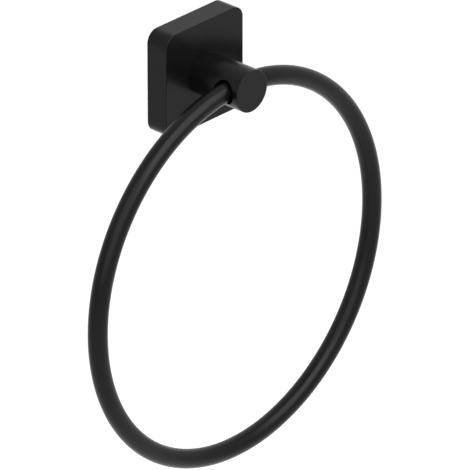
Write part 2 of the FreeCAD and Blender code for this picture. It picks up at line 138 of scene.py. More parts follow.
class CoverSettings(bpy.types.PropertyGroup):
    """Sizes of the hollow square cover."""

    corner_radius: length("Corner radius", "Radius of the four corners", 6.0)
    edge_radius: length("Edge radius", "Rounding of the front edge", 0.3)
    rim_radius: length("Rim radius", "Rounding of the edges that meet the wall", 0.15)
    wall: length("Wall", "Thickness of the sides", 2.5)
    front: length("Front", "Thickness of the front", 2.5)
    floor_radius: length("Floor radius", "Rounding inside, where sides meet the front", 0.8)
    key_radius: length("Key radius", "Radius of the keyed hole for the post", 4.85)
    key_flat: length("Key flat", "From the hole's middle to its flats", 4.1)
    hook_width: length("Hook width", "Width of each hook rib", 5.0)
    hook_spacing: length("Hook spacing", "Between the middles of the two hook ribs", 22.0)
    hook_reach: length("Hook reach", "How far from the wall the hook ribs go", 7.0)
    hook_nose: length("Hook nose", "Height of the ribs' nose above the post's axis", 14.9)
    hook_slope: degrees("Hook slope", "Slope of the ribs, as the bracket's flange is splayed", 30.0)
    rib_gap: length("Rib gap", "From the wall to the ribs and the boss", 0.6)
    boss_half_width: length("Boss half width", "Half the width of the set screw's boss", 4.2)
    boss_height: length("Boss height", "Height of the boss above the lower wall", 3.5)
    boss_corner: length("Boss corner", "Radius of the boss's corners", 1.5)
    screw_clearance: length("Screw clearance", "Play about the set screw", 0.05)
    corner_steps: steps("Corner steps", "Divisions of each corner", 16)


class PostSettings(bpy.types.PropertyGroup):
    """Sizes of the post with its cross bore."""

    bore_diameter: length("Bore", "Diameter of the cross bore", 11.208)
    bore_end_wall: length("End wall", "Metal left between the bore and the end", 2.6)
    bore_rim: length("Bore rim", "Rounding of the bore's two mouths", 0.3)
    end_radius: length("End radius", "Rounding of the free end", 0.3)
    spigot_radius: length("Spigot radius", "Radius of the keyed spigot", 4.75)
    spigot_flat: length("Spigot flat", "From the spigot's middle to its flats", 4.0)
    tapped_radius: length("Tapped hole", "Radius of the hole for the post screw", 3.0)
    tapped_depth: length("Tapped depth", "How deep the tapped hole goes from the wall", 20.3)


class RingSettings(bpy.types.PropertyGroup):
    """How finely the hoop is divided."""

    hoop_steps: steps("Hoop steps", "Divisions round the hoop", 384)
    rod_steps: steps("Rod steps", "Divisions round the rod", 48)


class FastenerSettings(bpy.types.PropertyGroup):
    """Sizes of the two screws and the spring washer."""

    screw_pitch: length("Screw pitch", "Pitch of the post screw's thread", 1.0)
    screw_head_height: length("Head height", "Height of the post screw's head", 4.0)
    screw_shank: length("Shank radius", "Radius over the post screw's thread", 2.95)
    screw_socket: length("Screw socket", "Width across flats of the post screw's socket", 5.0)
    screw_socket_depth: length("Socket depth", "Depth of the post screw's socket", 2.3)
    grub_pitch: length("Set screw pitch", "Pitch of the set screw's thread", 0.8)
    grub_socket: length("Set screw socket", "Width across flats of its socket", 2.5)
    grub_socket_depth: length("Set screw socket depth", "Depth of its socket", 2.5)
    grub_cone: length("Set screw cone", "Length of its cone point", 1.9)
    grub_tip: length("Set screw tip", "Radius of its tip", 0.6)
    washer_hole: length("Washer hole", "Radius of the washer's hole", 3.2)
    washer_gap: length("Washer gap", "Width of the washer's split", 1.2)
    washer_edge: length("Washer edge", "Rounding of the washer's edges", 0.2)
    edge_break: length("Edge break", "Rounding of the screws' edges", 0.4)
    turn_steps: steps("Turn steps", "Divisions round a screw", 48)
    pitch_steps: steps("Pitch steps", "Divisions along one pitch of a thread", 14)


class FinishSettings(bpy.types.PropertyGroup):
    """Colours and gloss of the coat and the platings."""

    coat: colour("Coat", "Colour of the black coat", (0.004, 0.004, 0.0039))
    coat_roughness: share("Coat roughness", "Satin of the black coat", 0.28)
    coat_gloss: share("Coat gloss", "Strength of the coat's reflection", 0.14)
    zinc: colour("Zinc", "Colour of the bracket's zinc plate", (0.56, 0.57, 0.58))
    screw_zinc: colour("Screw zinc", "Colour of the plated screw", (0.5, 0.5, 0.49))
    oxide: colour("Oxide", "Colour of the set screw's black oxide", (0.05, 0.05, 0.054))


class StageSettings(bpy.types.PropertyGroup):
    """Floor, light and camera."""

    floor_drop: length("Floor drop", "How far the floor lies below the hoop", 260.0)
    fill_light: share("Fill light", "Level of the surround on matt surfaces", 0.15)
    key_power: watts("Key lamp", "Power of the lamp in front", 4.0)
    side_power: watts("Side lamp", "Power of the lamp at the left", 15.0)
    camera_distance: length("Camera distance", "From the camera to what it looks at", 3262.0)
    camera_azimuth: degrees("Camera azimuth", "Turn about the part, from straight in front", -47.25)
    camera_elevation: degrees("Camera elevation", "Height above the level, as an angle", 26.99)


# Meshes


class Skin:
    """The points and faces of one surface."""

    def __init__(self):
        self.points = []
        self.faces = []

    def row(self, points):
        """Adds a row of points and gives their numbers."""
        first = len(self.points)
        self.points.extend(points)
        return list(range(first, len(self.points)))

    def band(self, row, other, closed=True):
        """Fills the band between two rows of equal length."""
        count = len(row)
        for index in range(count if closed else count - 1):
            after = (index + 1) % count
            self.faces.append((row[index], row[after], other[after], other[index]))

    def bands(self, rows, closed=True):
        """Fills the bands between rows that follow each other."""
        for row, other in zip(rows, rows[1:]):
            self.band(row, other, closed)

    def fan(self, row, middle):
        """Closes a row with triangles that meet in a point."""
        centre = self.row([middle])[0]
        for index, number in enumerate(row):
            self.faces.append((number, row[(index + 1) % len(row)], centre))


def weld(mesh):
    """Welds a mesh, turns its faces outwards and makes sure that it has no open edge."""
    shell = bmesh.new()
    shell.from_mesh(mesh)
    bmesh.ops.remove_doubles(shell, verts=shell.verts, dist=WELD_DISTANCE)
    bmesh.ops.dissolve_degenerate(shell, edges=shell.edges, dist=WELD_DISTANCE)
    bmesh.ops.recalc_face_normals(shell, faces=shell.faces)
    open_edges = sum(1 for edge in shell.edges if not edge.is_manifold)
    shell.to_mesh(mesh)
    shell.free()
    if open_edges:
        raise RuntimeError(f"{mesh.name} has {open_edges} open edges")
    return mesh


def closed_mesh(name, skin):
    """Turns a skin into a closed mesh."""
    mesh = bpy.data.meshes.new(name)
    mesh.from_pydata(skin.points, [], skin.faces)
    return weld(mesh)


def add_object(name, mesh):
    """Puts a mesh into the scene."""
    thing = bpy.data.objects.new(name, mesh)
    bpy.context.scene.collection.objects.link(thing)
    return thing


def add_piece(name, mesh, finish, body, node):
    """A visible piece that stands for a solid and rides on its body."""
    mesh.shade_smooth()
    mesh.set_sharp_from_angle(angle=CREASE_ANGLE)
    mesh.materials.clear()
    mesh.materials.append(finish)
    piece = add_object(name, mesh)
    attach(piece, body)
    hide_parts(node)
    return piece


def cut_or_join(mesh, tools):
    """Joins tools to a mesh or cuts them out of it, each given with its operation."""
    work = add_object("work", mesh)
    for tool_mesh, operation in tools:
        tool = add_object("tool", tool_mesh)
        change = work.modifiers.new("change", "BOOLEAN")
        change.object = tool
        change.operation = operation
        change.solver = "EXACT"
        bpy.context.view_layer.update()
        ready = work.evaluated_get(bpy.context.evaluated_depsgraph_get())
        changed = bpy.data.meshes.new_from_object(ready)
        work.modifiers.clear()
        work.data = changed
        bpy.data.objects.remove(tool)
    result = work.data
    bpy.data.objects.remove(work)
    return weld(result)


def arc(centre, radius, first, last, count):
    """Points of an arc in a plane, from one angle in degrees to another."""
    angles = [math.radians(first + (last - first) * step / count) for step in range(count + 1)]
    return [
        (centre[0] + radius * math.cos(angle), centre[1] + radius * math.sin(angle))
        for angle in angles
    ]


def blend(near, far, part):
    """The point this part of the way from one point to another."""
    return tuple(a + (b - a) * part for a, b in zip(near, far))


def keyed_radius(radius, flat, angle):
    """Distance from the middle to the edge of a round hole with a flat above and below."""
    rise = abs(math.sin(angle))
    return radius if rise * radius <= flat else flat / rise


def hexagon_radius(across_flats, angle):
    """Distance from the middle to the edge of a hexagon."""
    sixth = FULL_TURN / 6
    return across_flats / 2 / math.cos(angle % sixth - sixth / 2)


# Finishes

# Width and height of the reliefs: the coat's clouds, orange peel and grain, and the plating's
# patches and fine lines
CLOUD_WIDTH = 14 * MM
PEEL_WIDTH, PEEL_HEIGHT = 1.3 * MM, 0.02 * MM
GRAIN_WIDTH, GRAIN_HEIGHT = 0.16 * MM, 0.003 * MM
PATCH_WIDTH, PATCH_HEIGHT = 3.5 * MM, 0.03 * MM
LINE_WIDTH, LINE_HEIGHT = 0.25 * MM, 0.02 * MM

# The coat's colour in its darkest and lightest clouds, and how far its roughness changes
COAT_DARK, COAT_LIGHT = 0.85, 1.15
COAT_CHANGE = 0.015

# The plating's colour in its darkest patches, which are bluish, and in its lightest ones, and
# how far its roughness changes
PLATE_DARK, PLATE_LIGHT = (0.74, 0.76, 0.8), (1.14, 1.13, 1.08)
PLATE_CHANGE = 0.08

# Roughness of each plating, and how much its fine lines are squeezed along X, Y and Z
BRACKET_ROUGHNESS, BRACKET_LINES = 0.42, (0.04, 1.0, 1.0)
POST_SCREW_ROUGHNESS, POST_SCREW_LINES = 0.35, (1.0, 0.1, 1.0)
SET_SCREW_ROUGHNESS, SET_SCREW_LINES = 0.45, (1.0, 1.0, 0.1)

# Nearly all of a noise lies between these values
NOISE_LOW, NOISE_HIGH = 0.3, 0.7


class Nodes:
    """Adds nodes to a material and links them by the names of their sockets."""

    def __init__(self, tree):
        self.tree = tree
        tree.nodes.clear()

    def add(self, kind, **settings):
        """A node with some of its properties set."""
        node = self.tree.nodes.new(kind)
        for name, value in settings.items():
            setattr(node, name, value)
        return node

    def link(self, source, output, target, entry):
        """Joins an output to an input."""
        self.tree.links.new(source.outputs[output], target.inputs[entry])

    def noise(self, place, width, detail):
        """Noise whose features have this width in metres."""
        noise = self.add("ShaderNodeTexNoise")
        noise.inputs["Scale"].default_value = 1 / width
        noise.inputs["Detail"].default_value = detail
        self.link(place, place_output(place), noise, "Vector")
        return noise

    def spread(self, source, low, high):
        """Stretches a noise over a range of values."""
        spread = self.add("ShaderNodeMapRange")
        spread.inputs["From Min"].default_value = NOISE_LOW
        spread.inputs["From Max"].default_value = NOISE_HIGH
        spread.inputs["To Min"].default_value = low
        spread.inputs["To Max"].default_value = high
        self.link(source, 0, spread, "Value")
        return spread

    def tint(self, source, dark, light):
        """Two colours mixed by a noise."""
        mix = self.add("ShaderNodeMix", data_type="RGBA")
        mix.inputs["A"].default_value = (*dark, 1)
        mix.inputs["B"].default_value = (*light, 1)
        self.link(source, 0, mix, "Factor")
        return mix

    def bump(self, source, height, below=None):
        """Relief of this height in metres, on top of another relief."""
        bump = self.add("ShaderNodeBump")
        bump.inputs["Strength"].default_value = 1.0
        bump.inputs["Distance"].default_value = height
        self.link(source, 0, bump, "Height")
        if below:
            self.link(below, "Normal", bump, "Normal")
        return bump


def place_output(node):
    """Name of the output that carries a place."""
    return "Object" if node.bl_idname == "ShaderNodeTexCoord" else "Vector"


def new_finish(name):
    """A material with its output, its shader and the place on the object."""
    material = bpy.data.materials.new(name)
    material.use_nodes = True
    nodes = Nodes(material.node_tree)
    shader = nodes.add("ShaderNodeBsdfPrincipled")
    output = nodes.add("ShaderNodeOutputMaterial")
    nodes.link(shader, "BSDF", output, "Surface")
    place = nodes.add("ShaderNodeTexCoord")
    return material, nodes, shader, place


def black_coat(finish):
    """Satin black coat: faint orange peel, fine grain and slight changes of gloss."""
    ready = bpy.data.materials.get("black_coat_finish")
    if ready:
        return ready
    material, nodes, shader, place = new_finish("black_coat_finish")
    shader.inputs["Specular IOR Level"].default_value = finish.coat_gloss
    clouds = nodes.noise(place, CLOUD_WIDTH, detail=2)
    peel = nodes.noise(place, PEEL_WIDTH, detail=2)
    grain = nodes.noise(place, GRAIN_WIDTH, detail=3)
    dark = tuple(COAT_DARK * channel for channel in finish.coat)
    light = tuple(COAT_LIGHT * channel for channel in finish.coat)
    tone = nodes.tint(clouds, dark, light)
    nodes.link(tone, "Result", shader, "Base Color")
    roughness = finish.coat_roughness
    gloss = nodes.spread(clouds, roughness - COAT_CHANGE, roughness + COAT_CHANGE)
    nodes.link(gloss, "Result", shader, "Roughness")
    relief = nodes.bump(grain, GRAIN_HEIGHT, nodes.bump(peel, PEEL_HEIGHT))
    nodes.link(relief, "Normal", shader, "Normal")
    return material


def plated_steel(name, tone, roughness, squeeze):
    """Zinc plate or oxide: patches of brightness over the fine lines of rolled steel."""
    material, nodes, shader, place = new_finish(name)
    shader.inputs["Metallic"].default_value = 1.0
    patches = nodes.noise(place, PATCH_WIDTH, detail=5)
    squeezed = nodes.add("ShaderNodeMapping")
    squeezed.inputs["Scale"].default_value = squeeze
    nodes.link(place, "Object", squeezed, "Vector")
    lines = nodes.noise(squeezed, LINE_WIDTH, detail=3)
    dark = tuple(part * channel for part, channel in zip(PLATE_DARK, tone))
    light = tuple(part * channel for part, channel in zip(PLATE_LIGHT, tone))
    mixed = nodes.tint(patches, dark, light)
    nodes.link(mixed, "Result", shader, "Base Color")
    gloss = nodes.spread(patches, roughness - PLATE_CHANGE, roughness + PLATE_CHANGE)
    nodes.link(gloss, "Result", shader, "Roughness")
    relief = nodes.bump(lines, LINE_HEIGHT, nodes.bump(patches, PATCH_HEIGHT))
    nodes.link(relief, "Normal", shader, "Normal")
    return material


# Cover

# Strip beside each rounded edge that keeps the flat faces flat to the eye
COVER_HOLD = 0.1 * MM

# Divisions of half a side, of the faces round the keyed hole, of a corner of the boss and of
# the set screw's hole
SIDE_STEPS = 8
FACE_STEPS = 4
BOSS_CORNER_STEPS = 8
HOLE_STEPS = 48

# The set screw's hole is cut from this many times the cover's half height below the middle
CUT_START = 1.2


def rounded_square(half, radius, corner_steps):
    """Points round a square with rounded corners, from the middle of the right side."""
    flat = half - radius
    quarter = []
    for step in range(SIDE_STEPS):
        quarter.append((half, flat * step / SIDE_STEPS))
    quarter.extend(arc((flat, flat), radius, 0, 90, corner_steps))
    for step in range(1, SIDE_STEPS):
        quarter.append((flat * (1 - step / SIDE_STEPS), half))
    points = []
    for turn in range(4):
        for across, up in quarter:
            for _ in range(turn):
                across, up = -up, across
            points.append((across, up))
    return points


def cover_profile(size, depth):
    """Section of the cover's wall: distance in from the outside, and place along Y."""
    edge = size.edge_radius
    rim = size.rim_radius
    inside = size.floor_radius
    hold = COVER_HOLD
    profile = [(edge + hold, -depth)]
    profile += arc((edge, edge - depth), edge, -90, -180, WIDE_EDGE_STEPS)
    profile += [(0.0, edge + hold - depth), (0.0, -rim - hold)]
    profile += arc((rim, -rim), rim, 180, 90, NARROW_EDGE_STEPS)
    profile += [(rim + hold, 0.0), (size.wall - rim - hold, 0.0)]
    profile += arc((size.wall - rim, -rim), rim, 90, 0, NARROW_EDGE_STEPS)
    floor = size.front - depth
    profile += [(size.wall, -rim - hold), (size.wall, floor + inside + hold)]
    profile += arc((size.wall + inside, floor + inside), inside, 180, 270, WIDE_EDGE_STEPS)
    profile += [(size.wall + inside + hold, floor)]
    return profile


def cover_shell(size):
    """The cover's shell, from its front face round the wall to the floor inside."""
    skin = Skin()
    half = COVER_HIGH.x
    depth = -COVER_LOW.y
    rows = []
    for inset, along in cover_profile(size, depth):
        outline = rounded_square(half - inset, size.corner_radius - inset, size.corner_steps)
        rows.append(skin.row([(across, along, up) for across, up in outline]))
    skin.bands(rows)
    holes = []
    for row in (rows[0], rows[-1]):
        edge = [skin.points[number] for number in row]
        hole = []
        for across, along, up in edge:
            angle = math.atan2(up, across)
            radius = keyed_radius(size.key_radius, size.key_flat, angle)
            hole.append((radius * math.cos(angle), along, radius * math.sin(angle)))
        face = [row]
        for step in range(1, FACE_STEPS + 1):
            face.append(skin.row([blend(a, b, step / FACE_STEPS) for a, b in zip(edge, hole)]))
        skin.bands(face)
        holes.append(face[-1])
    skin.band(holes[0], holes[1])
    return closed_mesh("cover_shell", skin)


def prism(corners, low, high, upright=False):
    """A prism over corners given in a plane: along X, or along Z when upright."""
    skin = Skin()
    ends = []
    for level in (low, high):
        if upright:
            ends.append(skin.row([(across, along, level) for across, along in corners]))
        else:
            ends.append(skin.row([(level, along, up) for along, up in corners]))
    skin.band(ends[0], ends[1])
    for end in ends:
        skin.faces.append(tuple(end))
    return closed_mesh("prism", skin)


def hook_ribs(size):
    """The two ribs that hook behind the bracket's upper flange."""
    root = COVER_HIGH.z - size.wall / 2
    rise = (size.hook_reach - size.rib_gap) * math.tan(size.hook_slope)
    corners = [
        (-size.rib_gap, root),
        (-size.hook_reach, root),
        (-size.hook_reach, size.hook_nose + rise),
        (-size.rib_gap, size.hook_nose),
    ]
    inner = (size.hook_spacing - size.hook_width) / 2
    outer = inner + size.hook_width
    return [prism(corners, inner, outer), prism(corners, -outer, -inner)]


def set_screw_boss(size):
    """The boss on the lower wall that holds the set screw."""
    half = size.boss_half_width
    corner = size.boss_corner
    root = COVER_LOW.y + size.front / 2
    corners = [(-half, root), (half, root)]
    back = -size.rib_gap - corner
    corners += arc((half - corner, back), corner, 0, 90, BOSS_CORNER_STEPS)
    corners += arc((corner - half, back), corner, 90, 180, BOSS_CORNER_STEPS)
    floor = COVER_LOW.z + size.wall
    return prism(corners, floor - size.wall / 2, floor + size.boss_height, upright=True)


def set_screw_hole(size):
    """What the set screw's hole takes out of the wall and the boss."""
    middle = (GRUB_LOW + GRUB_HIGH) / 2
    radius = GRUB_HIGH.x + size.screw_clearance
    corners = arc((middle.x, middle.y), radius, 0, 360, HOLE_STEPS)[:-1]
    return prism(corners, CUT_START * COVER_LOW.z, 0.0, upright=True)


class TOWELRING_OT_cover(bpy.types.Operator):
    """Build the hollow square cover with its hooks and the set screw's boss"""

    bl_idname = "towelring.cover"
    bl_label = "Cover"

    def execute(self, context):
        size = context.scene.towelring_cover
        tools = [(rib, "UNION") for rib in hook_ribs(size)]
        tools.append((set_screw_boss(size), "UNION"))
        tools.append((set_screw_hole(size), "DIFFERENCE"))
        casting = cut_or_join(cover_shell(size), tools)
        add_piece(
            "cover_casting", casting, black_coat(context.scene.towelring_finish),
            "wall_mount", "cover",
        )
        return {"FINISHED"}


# Post

# Strip beside each rounded edge that keeps the bar's surface even
POST_HOLD = 0.12 * MM

# Small bevel where the bar stands on the cover, bevel of the tapped hole, and half the angle
# of the hole's drilled point
SEAT_BEVEL = 0.12 * MM
TAPPED_BEVEL = 0.3 * MM
DRILL_HALF_ANGLE = math.radians(59)

# The bar's surface about each mouth of the bore is a patch, this far round the bar to each
# side. Its rows run from the patch's border, 1, to the mouth's rounded rim, 0.
MOUTH_HALF_ANGLE = math.radians(52)
MOUTH_ROWS = (1.0, 0.8, 0.6, 0.4, 0.22, 0.08, 0.0)

# Divisions of a patch's side, of the rim, of the bore's wall, of the bar above and below
# between the two patches, and of the bar from the patches to the cover
MOUTH_STEPS = 28
MOUTH_RIM_STEPS = 5
BORE_STEPS = 12
BETWEEN_STEPS = 22
SHAFT_STEPS = 8

# Rings on the free end, as shares of the bar's radius
END_RINGS = (0.75, 0.5, 0.25)


def post_places(size):
    """Radius of the bar, radius of the bore and the bore's place along Y."""
    radius = POST_HIGH.x
    bore = size.bore_diameter / 2
    return radius, bore, POST_LOW.y + size.bore_end_wall + bore


def on_bar(radius, around, along):
    """A point on a round bar along Y, from the arc length round it from +X."""
    angle = around / radius
    return (radius * math.cos(angle), along, radius * math.sin(angle))


def mouth_rows(skin, size, side, near, far, reach):
    """The bar's surface about one mouth of the bore, down to the bore's wall."""
    radius, bore, middle = post_places(size)
    rim = size.bore_rim
    corners = [(-reach, near), (reach, near), (reach, far), (-reach, far)]
    border = []
    for corner, after in zip(corners, corners[1:] + corners[:1]):
        border += [blend(corner, after, step / MOUTH_STEPS) for step in range(MOUTH_STEPS)]
    angles = [math.atan2(around, along - middle) for around, along in border]
    mouth = []
    for angle in angles:
        lift = (bore + rim) * math.sin(angle)
        mouth.append((radius * math.asin(lift / radius), middle + (bore + rim) * math.cos(angle)))
    rows = []
    for part in MOUTH_ROWS:
        unrolled = [blend(a, b, part) for a, b in zip(mouth, border)]
        rows.append(skin.row([
            (side * point[0], point[1], point[2])
            for point in (on_bar(radius, around, along) for around, along in unrolled)
        ]))
    for step in range(1, MOUTH_RIM_STEPS + 1):
        part = step / MOUTH_RIM_STEPS
        points = []
        for angle in angles:
            outside = math.sqrt(radius**2 - ((bore + rim) * math.sin(angle)) ** 2)
            inside = math.sqrt(radius**2 - (bore * math.sin(angle)) ** 2)
            start = (bore + rim, outside)
            turn = (bore, inside)
            finish = (bore, inside - rim)
            out, across = blend(blend(start, turn, part), blend(turn, finish, part), part)
            points.append((
                side * across, middle + out * math.cos(angle), out * math.sin(angle)
            ))
        rows.append(skin.row(points))
    skin.bands(rows)
    return rows[-1]


def post_bar(size):
    """The round bar with its cross bore, keyed spigot and tapped hole."""
    skin = Skin()
    radius, _, middle = post_places(size)
    end = POST_LOW.y
    root = COVER_LOW.y
    hold = POST_HOLD
    count = MOUTH_STEPS
    reach = radius * MOUTH_HALF_ANGLE
    near = end + size.end_radius + hold
    far = middle + (middle - near)
    right, left = [mouth_rows(skin, size, side, near, far, reach) for side in (1, -1)]
    inner = [right]
    for step in range(1, BORE_STEPS):
        part = step / BORE_STEPS
        row = []
        for number, other in zip(right, left):
            row.append(blend(skin.points[number], skin.points[other], part))
        inner.append(skin.row(row))
    inner.append(left)
    skin.bands(inner)

    around = [-reach + 2 * reach * step / count for step in range(count)]
    half_turn = radius * math.pi
    between = BETWEEN_STEPS
    gap = half_turn - 2 * reach
    around += [reach + gap * step / between for step in range(between)]
    around += [place + half_turn for place in around]

    def bar_row(along, at_radius):
        """A row all round the bar, whose points stand at the same angles as the patches'."""
        return skin.row([
            (
                at_radius * math.cos(place / radius),
                along,
                at_radius * math.sin(place / radius),
            )
            for place in around
        ])

    for first in (count, 2 * count + between):
        strip = []
        columns = [around[(first + step) % len(around)] for step in range(between)]
        columns.append(columns[0] + gap)
        for step in range(count + 1):
            along = near + (far - near) * step / count
            strip.append(skin.row([on_bar(radius, place, along) for place in columns]))
        skin.bands(strip, closed=False)

    seat = SEAT_BEVEL
    shaft = root - far
    rows = [bar_row(far + shaft * step / SHAFT_STEPS, radius) for step in range(SHAFT_STEPS)]
    rows.append(bar_row(root - seat - hold, radius))
    rows.append(bar_row(root - seat, radius))
    rows.append(bar_row(root, radius - seat))
    spigot = []
    for along in (root, POST_HIGH.y):
        points = []
        for place in around:
            angle = place / radius
            edge = keyed_radius(size.spigot_radius, size.spigot_flat, angle)
            points.append((edge * math.cos(angle), along, edge * math.sin(angle)))
        spigot.append(skin.row(points))
    rows += spigot
    rows.append(bar_row(POST_HIGH.y, size.tapped_radius + TAPPED_BEVEL))
    rows.append(bar_row(POST_HIGH.y - TAPPED_BEVEL, size.tapped_radius))
    rows.append(bar_row(-size.tapped_depth, size.tapped_radius))
    skin.bands(rows)
    point = size.tapped_radius / math.tan(DRILL_HALF_ANGLE)
    skin.fan(rows[-1], (0.0, -size.tapped_depth - point, 0.0))

    edge = size.end_radius
    corner = arc((radius - edge, end + edge), edge, 0, -90, WIDE_EDGE_STEPS)
    face = [bar_row(near, radius)]
    face += [bar_row(along, out) for out, along in corner]
    face.append(bar_row(end, radius - edge - hold))
    face += [bar_row(end, part * radius) for part in END_RINGS]
    skin.bands(face)
    skin.fan(face[-1], (0.0, end, 0.0))
    return closed_mesh("post_bar", skin)


class TOWELRING_OT_post(bpy.types.Operator):
    """Build the round post with its cross bore"""

    bl_idname = "towelring.post"
    bl_label = "Post"

    def execute(self, context):
        bar = post_bar(context.scene.towelring_post)
        add_piece(
            "post_bar", bar, black_coat(context.scene.towelring_finish),
            "wall_mount", "post",
        )
        return {"FINISHED"}


# Hoop


class TOWELRING_OT_ring(bpy.types.Operator):
    """Build the closed hoop of round rod"""

    bl_idname = "towelring.ring"
    bl_label = "Ring"

    def execute(self, context):
        size = context.scene.towelring_ring
        rod = (RING_HIGH.y - RING_LOW.y) / 2
        centre = (RING_LOW + RING_HIGH) / 2
        middle = min(RING_HIGH.x, (RING_HIGH.z - RING_LOW.z) / 2) - rod
        skin = Skin()
        rows = []
        for step in range(size.hoop_steps):
            turn = FULL_TURN * step / size.hoop_steps
            section = arc((middle, centre.y), rod, 0, 360, size.rod_steps)[:-1]
            rows.append(skin.row([
                (out * math.sin(turn), along, centre.z + out * math.cos(turn))
                for out, along in section
            ]))
        skin.bands(rows + rows[:1])
        add_piece(
            "ring_hoop", closed_mesh("ring_hoop", skin),
            black_coat(context.scene.towelring_finish), "hoop", "ring",
        )
        return {"FINISHED"}


# Bracket and fasteners

# A metric thread's depth, the flat at its root and the flat on its crest, in pitches
THREAD_DEPTH, ROOT_FLAT, CREST_FLAT = 0.541, 0.25, 0.125

# Rings on the set screw's cone, as shares of its height
CONE_ROWS = (0.3, 0.6, 0.9)

# Divisions round the spring washer
WASHER_STEPS = 72


class TOWELRING_OT_bracket(bpy.types.Operator):
    """Give the wall bracket its zinc plate"""

    bl_idname = "towelring.bracket"
    bl_label = "Wall bracket"

    def execute(self, context):
        finish = context.scene.towelring_finish
        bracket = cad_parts["wall_bracket"]
        zinc = plated_steel(
            "bracket_zinc_finish", finish.zinc, BRACKET_ROUGHNESS, BRACKET_LINES
        )
        bracket.material_slots[0].material = zinc
        return {"FINISHED"}


def thread_height(phase):
    """Height of a metric thread, from 0 at its root to 1 on its crest."""
    slope = abs(2 * (phase % 1.0) - 1)
    height = (slope - ROOT_FLAT) / (1 - ROOT_FLAT - CREST_FLAT)
    return min(max(height, 0.0), 1.0)


class ScrewMaker:
    """Builds a screw's skin by rings round its axis, from one end to the other."""

    def __init__(self, turn_steps):
        self.skin = Skin()
        self.rows = []
        self.angles = [FULL_TURN * step / turn_steps for step in range(turn_steps)]

    def ring(self, radius, along):
        """A ring, whose radius may depend on the angle."""
        points = []
        for angle in self.angles:
            out = radius(angle) if callable(radius) else radius
            points.append((out * math.cos(angle), out * math.sin(angle), along))
        self.rows.append(self.skin.row(points))

    def thread(self, radius, low, high, pitch, pitch_steps):
        """A thread of this outer radius, which runs out at both ends."""
        count = round((high - low) / pitch * pitch_steps)
        depth = THREAD_DEPTH * pitch
        for step in range(count + 1):
            along = low + (high - low) * step / count
            strength = min(1.0, (along - low) / pitch, (high - along) / pitch)

            def thread_radius(angle):
                height = thread_height(along / pitch - angle / FULL_TURN)
                return radius - depth * (1 - height * strength)

            self.ring(thread_radius, along)

    def socket(self, across_flats, mouth, depth, face):
        """A hexagon socket, sunk from the last ring."""
        self.ring(across_flats / math.sqrt(3) + face, mouth)
        for along in (mouth, mouth - depth):
            self.ring(lambda angle: hexagon_radius(across_flats, angle), along)
        self.ring(across_flats / 4, mouth - depth)

    def mesh(self, name, bottom, top):
        """The closed mesh, with a middle point for each end."""
        self.skin.bands(self.rows)
        self.skin.fan(self.rows[0], (0.0, 0.0, bottom))
        self.skin.fan(self.rows[-1], (0.0, 0.0, top))
        return closed_mesh(name, self.skin)


def post_screw(size):
    """The low head socket screw, along its own axis from the tip at the lower end."""
    screw = ScrewMaker(size.turn_steps)
    shank = size.screw_shank
    core = shank - THREAD_DEPTH * size.screw_pitch
    total = SCREW_HIGH.y - SCREW_LOW.y
    seat = total - size.screw_head_height
    head = SCREW_HIGH.x
    edge = size.edge_break
    screw.ring(core / 2, 0.0)
    screw.ring(core - edge / 2, 0.0)
    screw.thread(shank, edge / 2, seat - edge / 2, size.screw_pitch, size.pitch_steps)
    screw.ring(core, seat)
    corner = arc((head - edge / 2, seat + edge / 2), edge / 2, -90, 0, EDGE_STEPS)
    corner += arc((head - edge, total - edge), edge, 0, 90, WIDE_EDGE_STEPS)
    for out, along in corner:
        screw.ring(out, along)
    screw.socket(size.screw_socket, total, size.screw_socket_depth, edge)
    return screw.mesh("post_screw_body", 0.0, total - size.screw_socket_depth)


def set_screw(size):
    """The set screw, along its own axis from the cone point at the lower end."""
    screw = ScrewMaker(size.turn_steps)
    radius = GRUB_HIGH.x
    core = radius - THREAD_DEPTH * size.grub_pitch
    total = GRUB_HIGH.z - GRUB_LOW.z
    edge = size.edge_break
    screw.ring(size.grub_tip / 2, 0.0)
    screw.ring(size.grub_tip, 0.0)
    reach = size.grub_cone * (core - size.grub_tip) / (radius - size.grub_tip)
    for part in CONE_ROWS:
        screw.ring(size.grub_tip + (core - size.grub_tip) * part, reach * part)
    screw.thread(radius, reach, total - edge / 2, size.grub_pitch, size.pitch_steps)
    screw.ring(core - edge / 2, total)
    screw.socket(size.grub_socket, total, size.grub_socket_depth, edge / 2)
    return screw.mesh("set_screw_body", 0.0, total - size.grub_socket_depth)


def spring_washer(size):
    """The split washer: a rounded section swept round from one side of the gap to the other."""
    inner = size.washer_hole
    outer = WASHER_HIGH.x
    edge = size.washer_edge
    section = []
    for corner, (out, along) in enumerate((
        (outer - edge, WASHER_HIGH.y - edge),
        (inner + edge, WASHER_HIGH.y - edge),
        (inner + edge, WASHER_LOW.y + edge),
        (outer - edge, WASHER_LOW.y + edge),
    )):
        section += arc((out, along), edge, 90 * corner, 90 * corner + 90, EDGE_STEPS)
    skin = Skin()
    rows = []
    for step in range(WASHER_STEPS + 1):
        points = []
        for out, along in section:
            lean = size.washer_gap / 2 * out / (2 * outer)
            first = math.asin((lean + size.washer_gap / 2) / out)
            last = FULL_TURN + math.asin((lean - size.washer_gap / 2) / out)
            angle = first + (last - first) * step / WASHER_STEPS
            points.append((out * math.sin(angle), along, out * math.cos(angle)))
        rows.append(skin.row(points))
    skin.bands(rows)
    skin.faces.append(tuple(rows[0]))
    skin.faces.append(tuple(rows[-1]))
    return closed_mesh("spring_washer", skin)


